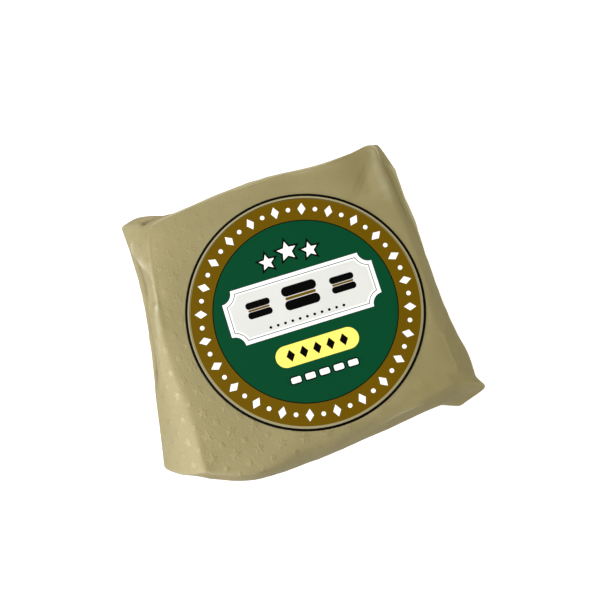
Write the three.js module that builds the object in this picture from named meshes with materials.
// A wrapped alfajor: a round filled cookie shut in a square wrap of embossed foil paper,
// with a round paper label on top. The wrap is shut, so it is one solid; the label is the other.
// Millimetres, +Z up. +X runs to the right and +Y to the back; the pack rests on z = 0.

import * as THREE from 'three';

// ---- Driving dimensions ------------------------------------------------------------------

const packHeight = 20.4; // floor to the middle of the flat top
const flatRadius = 24.5; // the cookie inside holds the top flat as far as this
const topDome = 0.35; // how much lower the top is at that radius than in its middle
// Power of the fall from there to the top edge: a small drop comes late, close to the edge.
const fallPower = { level: 5.5, lessPerDrop: 1.2, least: 1.6, most: 4.5 };
const leaving = { least: 0.4, perBend: 0.3 }; // a wide bend runs on further down the wall
const footTuck = 2.4; // how far the paper turns in under the pack, unless a rib says otherwise
const footHeight = 1.1; // height at which the turned-in paper meets its last bend
const restInset = 2.5; // from that bend in to the flat that touches the table
const restRingShare = 0.45; // the ring of vertices inside that flat, as a share of its outline
const footCentre = new THREE.Vector2(-1.5, 1); // the paper turns in towards this point

const labelRadius = 25;
const labelThickness = 0.3;
const labelGap = 0.3; // air between the wrap and the label
const labelRings = [0.5, 0.84, 1]; // the label's rings of vertices, as shares of its radius

const columnsPerRib = 5; // columns of vertices between two ribs
const flatRings = 4; // rings of vertices on the flat of the top
const fallRings = 5; // rings from there to the bend over the top edge
const edgeRows = 4; // rows over the top edge
const wallRows = 8; // rows from the top edge to the widest line
const underRows = 5; // rows from the widest line to the foot
const restRows = 2; // rows from the foot to the resting flat

// Corner rounding of each level, as the width of the average taken along its outline.
const straightRun = 0.9; // slope of the straight runs into a crisp rib, as a share of the run
const rounding = { rim: 0.6, waist: 0.4, foot: 0.5, rest: 2.5 };

// ---- Ribs ---------------------------------------------------------------------------------
// A rib is one vertical line down the side of the pack. rim is the point on the top edge, waist
// the widest point of the wall, and foot the point where the paper turns under. foot is left out
// where it is simply footTuck in from the waist. crisp is 0 on a smooth bend and 1 on a sharp one.
// bend is how far in from the top edge the bend over it starts.
// They run anticlockwise seen from above, and x = y = 0 is the middle of the label.

const rib = (name, rim, waist, { foot, crisp = 0, bend }) => ({ name, rim, waist, foot, crisp, bend });

const ribs = [
  rib('front left fold', [-30, -25.5, 19.2], [-38.4, -21.6, 6.5], { crisp: 1, bend: 2.8 }),
  rib('front left face', [-29.3, -26.2, 19.1], [-34.3, -23.2, 7.5], { crisp: 0.3, bend: 2 }),
  rib('front bulge start', [-28.2, -26.8, 19], [-29.7, -26.2, 8.5], { crisp: 0.9, bend: 1.2 }),
  rib('front bulge', [-20.9, -29.1, 19], [-21.5, -29.6, 9.5], { bend: 1 }),
  rib('front middle', [-7.8, -27.8, 19.2], [-7.9, -29.9, 10], { bend: 1.3 }),
  rib('front right slope', [5.9, -26.7, 18.7], [6.5, -28.5, 9.5], { bend: 1.3 }),
  rib('front right hollow', [19.5, -24.8, 17.4], [21.7, -26.6, 8.5], { bend: 1.3 }),
  rib('front right lip', [24.6, -23.6, 15], [27.6, -26.2, 4], {
    foot: [27.8, -27.3, 0.5], crisp: 0.3, bend: 1.2,
  }),
  rib('front right ear', [26.8, -23, 13], [34, -25.5, 3.3], {
    foot: [31.5, -26.1, 0.6], crisp: 1, bend: 0.8,
  }),
  rib('notch behind that ear', [27.8, -21, 13.8], [32.4, -22.7, 3.8], { crisp: 0.4, bend: 1 }),
  rib('right ear root', [27.3, -16, 16], [32.2, -17.7, 5.2], { bend: 1.4 }),
  rib('right front', [27, -11.3, 17.4], [30.9, -12.2, 6.8], { bend: 1.8 }),
  rib('right middle', [26.8, -4, 18.7], [29.8, -3.8, 7.6], { bend: 1.8 }),
  rib('right back', [26.5, 9, 18.8], [29.5, 9.1, 8], { bend: 1.6 }),
  rib('right back end', [26.1, 15.5, 18.4], [29.4, 17.3, 8.2], { bend: 1.4 }),
  rib('right second fold', [25.8, 22.2, 17.6], [29.4, 26, 8.6], { crisp: 0.9, bend: 0.6 }),
  rib('back right point', [25.4, 30.6, 16], [27, 32.4, 10.4], {
    foot: [25, 29.2, 1.5], crisp: 0.9, bend: 0.4,
  }),
  rib('back right tip', [24.2, 31.1, 16.6], [25.2, 32.2, 10.4], { crisp: 0.4, bend: 0.5 }),
  rib('back right slope', [19.6, 30.5, 18], [20, 30.3, 10], { bend: 1 }),
  rib('back right', [13.9, 29.7, 18.8], [13.9, 30, 10], { bend: 0.9 }),
  rib('back middle', [2.1, 30.1, 19.3], [2.1, 30.5, 10], { bend: 0.8 }),
  rib('back left', [-8.4, 29.8, 19.3], [-8.4, 30.3, 10], { bend: 0.8 }),
  rib('back ear root', [-20, 28.5, 18.9], [-20.3, 30.1, 8.8], { bend: 0.6 }),
  rib('back pocket', [-22.9, 28.2, 18.7], [-25.3, 31.7, 10.5], { bend: 0.5 }),
  rib('back left ear top', [-25, 27.8, 18.5], [-29.3, 32.8, 8], { crisp: 0.4, bend: 0.5 }),
  rib('back left ear', [-26.2, 27.4, 18.3], [-32.8, 32.5, 5.2], { crisp: 1, bend: 0.5 }),
  rib('left ear root', [-27.7, 23.4, 18.5], [-32.4, 27.8, 6], { bend: 1 }),
  rib('left crease', [-28.4, 18, 18.8], [-32.3, 21, 6.6], { bend: 1.2 }),
  rib('left hollow', [-29.1, 13.8, 19.1], [-32.4, 15.6, 8.5], { bend: 1.8 }),
  rib('left middle', [-30.2, 6.4, 19.3], [-33.2, 7.6, 9.5], { bend: 2.2 }),
  rib('left slope start', [-30.4, -3, 19.4], [-34.8, -1.6, 9.5], { bend: 2.6 }),
  rib('left slope', [-29.7, -13, 19.3], [-36.6, -12.3, 9], { bend: 3 }),
];

// ---- Folds --------------------------------------------------------------------------------
// A fold lifts the paper along a path of points, or sinks it where lift is negative. reach is how
// far from the path it is still felt. It fades out towards both ends of its path.

const fadeIn = 6; // how soon a fold comes up to its full lift from its ends
const fold = (name, path, { reach, lift }) => ({ name, path, reach, lift });

const folds = [
  fold('shoulder down from the left edge', [
    [-28.4, 15, 18.9], [-29.4, 19.7, 17.6], [-30.8, 23.4, 14.6], [-31.6, 27, 11.2],
  ], { reach: 1.5, lift: 0.6 }),
  fold('hollow below that shoulder', [
    [-31.9, 24, 10.5], [-31, 19.9, 15], [-31.2, 15.9, 15.5], [-32.3, 9, 14],
  ], { reach: 1.5, lift: -0.9 }),
  fold('pocket behind the back left ear', [
    [-28.2, 29.4, 14.4], [-22.2, 30.2, 15.2],
  ], { reach: 1.5, lift: -1.3 }),
  fold('ridge at the back right point', [
    [25.4, 32, 15.2], [24.6, 28, 17.4], [24.2, 24, 18.4], [24.2, 15, 19.4],
  ], { reach: 1.8, lift: 0.65 }),
  fold('dent left of that ridge', [[19.2, 32, 17.4], [20.6, 18, 19.6]], { reach: 3.4, lift: -0.6 }),
  fold('valley along the right wall', [[29.2, 26, 9.6], [30.2, 0, 8.4]], { reach: 1.5, lift: -0.35 }),
  fold('hollow before the front right ear', [[22, -25.4, 11], [29, -23, 11.5]], { reach: 3, lift: -0.9 }),
  fold('ridge along the front right ear', [
    [23.6, -20.5, 16.8], [25, -22.6, 14.6], [29, -24.8, 8.2], [33.4, -25.4, 3.6],
  ], { reach: 1.4, lift: 0.5 }),
  fold('hollow behind that ear', [[29.4, -21.4, 9.5], [30.6, -12.5, 10.8]], { reach: 2.4, lift: -0.6 }),
  fold('soft fold in the front wall', [[-2, -27.6, 15.5], [8.5, -25, 18.3]], { reach: 2, lift: -0.55 }),
];

// ---- Curves -------------------------------------------------------------------------------

/** The rib's foot: its own, or footTuck in from the waist, towards the middle of the pack. */
function footOf({ waist, foot }) {
  if (foot) return foot;
  const outward = new THREE.Vector2(waist[0], waist[1]).sub(footCentre);
  outward.setLength(outward.length() - footTuck).add(footCentre);
  return [outward.x, outward.y, footHeight];
}

/** A point on the smooth curve from start to end that leaves and arrives along the two slopes. */
function hermite(start, end, startSlope, endSlope, share) {
  const square = share * share;
  const cube = square * share;
  return new THREE.Vector3()
    .addScaledVector(start, 2 * cube - 3 * square + 1)
    .addScaledVector(startSlope, cube - 2 * square + share)
    .addScaledVector(end, 3 * square - 2 * cube)
    .addScaledVector(endSlope, cube - square);
}

/** The slope at `here` of a curve that passes evenly through three points. */
function slopeThrough(before, here, after) {
  const back = before.distanceTo(here);
  const ahead = here.distanceTo(after);
  const span = back + ahead;
  return new THREE.Vector3()
    .addScaledVector(here.clone().sub(before), ahead / (back * span))
    .addScaledVector(after.clone().sub(here), back / (ahead * span));
}

/** The direction half way between arriving at a point and leaving it. */
function turnAt(before, here, after) {
  const arriving = here.clone().sub(before).normalize();
  const leaving = after.clone().sub(here).normalize();
  return arriving.add(leaving).divideScalar(2);
}

/** A closed outline through one point of every rib, with straight runs into the crisp ones. */
function outlineThrough(points, crispness) {
  const count = points.length;
  const at = (index) => points[(index + count) % count];
  const slopes = points.map((point, index) => slopeThrough(at(index - 1), point, at(index + 1)));
  const outline = [];
  points.forEach((start, index) => {
    const next = (index + 1) % count;
    const run = at(next).clone().sub(start);
    const length = run.length();
    const slopeAt = (corner) => slopes[corner].clone().multiplyScalar(length * (1 - crispness[corner]))
      .addScaledVector(run, crispness[corner] * straightRun);
    for (let step = 0; step < columnsPerRib; step += 1) {
      outline.push(hermite(start, at(next), slopeAt(index), slopeAt(next), step / columnsPerRib));
    }
  });
  return outline;
}

/** The outline with its corners rounded: every point becomes an average of its neighbourhood. */
function rounded(outline, width) {
  const count = outline.length;
  const flatDistance = (a, b) => Math.hypot(a.x - b.x, a.y - b.y);
  const gaps = outline.map((point, index) => flatDistance(point, outline[(index + 1) % count]));
  const total = gaps.reduce((sum, gap) => sum + gap, 0);
  let travelled = 0;
  const places = gaps.map((gap) => {
    travelled += gap;
    return travelled - gap;
  });
  return outline.map((_, index) => {
    const average = new THREE.Vector3();
    let weightSum = 0;
    outline.forEach((neighbour, other) => {
      const apart = Math.abs(places[index] - places[other]);
      const along = Math.min(apart, total - apart) / width;
      const stretch = gaps[other] + gaps[(other - 1 + count) % count];
      const weight = stretch * Math.exp(-0.5 * along * along);
      average.addScaledVector(neighbour, weight);
      weightSum += weight;
    });
    return average.divideScalar(weightSum);
  });
}

// ---- Outlines of the wrap -----------------------------------------------------------------

const crispness = ribs.map(({ crisp }) => crisp);
const bendWidths = ribs.map(({ bend }) => bend);
const level = (pointOf, width) => {
  const points = ribs.map((one) => new THREE.Vector3(...pointOf(one)));
  return rounded(outlineThrough(points, crispness), width);
};
const rim = level((one) => one.rim, rounding.rim);
const waist = level((one) => one.waist, rounding.waist);
const foot = level(footOf, rounding.foot);
const rest = restingFlat(foot);
const columnCount = rim.length;

/** A value given at every rib, at a column between two of them. */
function atColumn(values, column) {
  const before = Math.floor(column / columnsPerRib);
  const after = (before + 1) % values.length;
  return THREE.MathUtils.lerp(values[before], values[after], column / columnsPerRib - before);
}

/** The edge of the flat that touches the table, inside the foot. */
function restingFlat(footOutline) {
  const inset = footOutline.map((point) => {
    const outward = new THREE.Vector2(point.x, point.y).sub(footCentre);
    outward.setLength(outward.length() - restInset).add(footCentre);
    return new THREE.Vector3(outward.x, outward.y, 0);
  });
  return rounded(inset, rounding.rest);
}

/** A point of the top, at a distance from its middle along one column. */
function topPoint(column, distance) {
  const edge = rim[column];
  const reach = Math.hypot(edge.x, edge.y);
  const sag = (radius) => topDome * (radius / flatRadius) ** 2;
  const fallen = Math.max(0, distance - flatRadius) / (reach - flatRadius);
  const drop = packHeight - sag(reach) - edge.z;
  const power = fallPower.level - fallPower.lessPerDrop * drop;
  const fall = drop * fallen ** THREE.MathUtils.clamp(power, fallPower.least, fallPower.most);
  const share = distance / reach;
  return new THREE.Vector3(edge.x * share, edge.y * share, packHeight - sag(distance) - fall);
}

/** One column of the wrap, from just off the middle of the top down to the resting flat. */
function columnPoints(column) {
  const points = [];
  for (let ring = 1; ring <= flatRings; ring += 1) {
    points.push(topPoint(column, (flatRadius * ring) / flatRings));
  }
  const bendWidth = atColumn(bendWidths, column);
  const spread = THREE.MathUtils.clamp(leaving.least + leaving.perBend * bendWidth, 0, 1);
  const bendStart = Math.hypot(rim[column].x, rim[column].y) - bendWidth;
  for (let ring = 1; ring <= fallRings; ring += 1) {
    points.push(topPoint(column, flatRadius + ((bendStart - flatRadius) * ring) / fallRings));
  }
  const restRing = rest[column].clone().multiplyScalar(restRingShare);
  const knots = [
    topPoint(column, bendStart - bendWidth),
    topPoint(column, bendStart),
    rim[column],
    waist[column],
    foot[column],
    rest[column],
    restRing,
  ];
  [edgeRows, wallRows, underRows, restRows].forEach((rows, bend) => {
    const [before, start, end, after] = knots.slice(bend, bend + 4);
    const length = start.distanceTo(end);
    const leave = length * spread;
    const startSlope = turnAt(before, start, end).multiplyScalar(leave);
    const endSlope = turnAt(start, end, after).multiplyScalar(length);
    for (let row = 1; row <= rows; row += 1) {
      const point = hermite(start, end, startSlope, endSlope, row / rows);
      point.z = Math.max(point.z, 0);
      points.push(point);
    }
  });
  return [...points, restRing];
}

// ---- Meshes -------------------------------------------------------------------------------

/** A closed skin from columns of points that share one point at the top and one at the bottom. */
function closedSkin(columns, topPole, bottomPole) {
  const rows = columns[0].length;
  const positions = [...topPole.toArray(), ...bottomPole.toArray()];
  columns.forEach((column) => column.forEach((point) => positions.push(...point.toArray())));
  const poles = 2;
  const at = (column, row) => poles + (column % columns.length) * rows + row;
  const triangles = [];
  for (let column = 0; column < columns.length; column += 1) {
    triangles.push(0, at(column, 0), at(column + 1, 0));
    for (let row = 0; row < rows - 1; row += 1) {
      triangles.push(at(column, row), at(column, row + 1), at(column + 1, row + 1));
      triangles.push(at(column, row), at(column + 1, row + 1), at(column + 1, row));
    }
    triangles.push(1, at(column + 1, rows - 1), at(column, rows - 1));
  }
  const geometry = new THREE.BufferGeometry();
  geometry.setAttribute('position', new THREE.Float32BufferAttribute(positions, 3));
  geometry.setIndex(triangles);
  geometry.computeVertexNormals();
  return geometry;
}

/** How far a point is from a path, and how far along the path that is, from 0 to 1. */
function besidePath(point, path) {
  const corners = path.map((corner) => new THREE.Vector3(...corner));
  let found = { distance: Infinity, along: 0 };
  corners.slice(1).forEach((end, index) => {
    const line = new THREE.Line3(corners[index], end);
    const share = line.closestPointToPointParameter(point, true);
    const distance = line.at(share, new THREE.Vector3()).distanceTo(point);
    if (distance < found.distance) found = { distance, along: (index + share) / (corners.length - 1) };
  });
  return found;
}

/** How far the folds move the paper at a point, outwards. */
function foldLift(point) {
  return folds.reduce((sum, { path, reach, lift }) => {
    const { distance, along } = besidePath(point, path);
    const fade = Math.min(1, fadeIn * along * (1 - along));
    return sum + lift * fade * Math.exp(-((distance / reach) ** 2));
  }, 0);
}

/** Moves every vertex along its normal by the folds near it, and never below the table. */
function pressFolds(geometry) {
  const position = geometry.getAttribute('position');
  const normal = geometry.getAttribute('normal');
  const point = new THREE.Vector3();
  const outward = new THREE.Vector3();
  for (let index = 0; index < position.count; index += 1) {
    point.fromBufferAttribute(position, index);
    outward.fromBufferAttribute(normal, index);
    point.addScaledVector(outward, foldLift(point));
    position.setXYZ(index, point.x, point.y, Math.max(point.z, 0));
  }
  geometry.computeVertexNormals();
  return geometry;
}

function wrapperGeometry() {
  const columns = rim.map((_, column) => columnPoints(column));
  const topPole = new THREE.Vector3(0, 0, packHeight);
  const bottomPole = new THREE.Vector3(0, 0, 0);
  return pressFolds(closedSkin(columns, topPole, bottomPole));
}

/** The label: a thin round disc that follows the top of the wrap. */
function labelGeometry() {
  const columns = [];
  for (let column = 0; column < columnCount; column += 1) {
    const ring = (share, lift) => topPoint(column, labelRadius * share).add(new THREE.Vector3(0, 0, lift));
    const face = labelRings.map((share) => ring(share, labelGap + labelThickness));
    const back = labelRings.map((share) => ring(share, labelGap)).reverse();
    columns.push([...face, ...back]);
  }
  const topPole = new THREE.Vector3(0, 0, packHeight + labelGap + labelThickness);
  const bottomPole = new THREE.Vector3(0, 0, packHeight + labelGap);
  return closedSkin(columns, topPole, bottomPole);
}

// ---- The pack -----------------------------------------------------------------------------

const foilPaper = new THREE.MeshStandardMaterial({ color: 0xa79b72, roughness: 0.5, metalness: 0.7 });
const labelPaper = new THREE.MeshStandardMaterial({ color: 0x0e4d2e, roughness: 0.55, metalness: 0 });

const wrapper = new THREE.Mesh(wrapperGeometry(), foilPaper);
wrapper.name = 'wrapper';

const label = new THREE.Mesh(labelGeometry(), labelPaper);
label.name = 'label';

// The origin is on the table, under the middle of the pack's bounding box.
const pack = new THREE.Group();
pack.add(wrapper, label);
const middle = new THREE.Box3().setFromObject(pack).getCenter(new THREE.Vector3());
pack.position.set(-middle.x, -middle.y, 0);

export default pack;
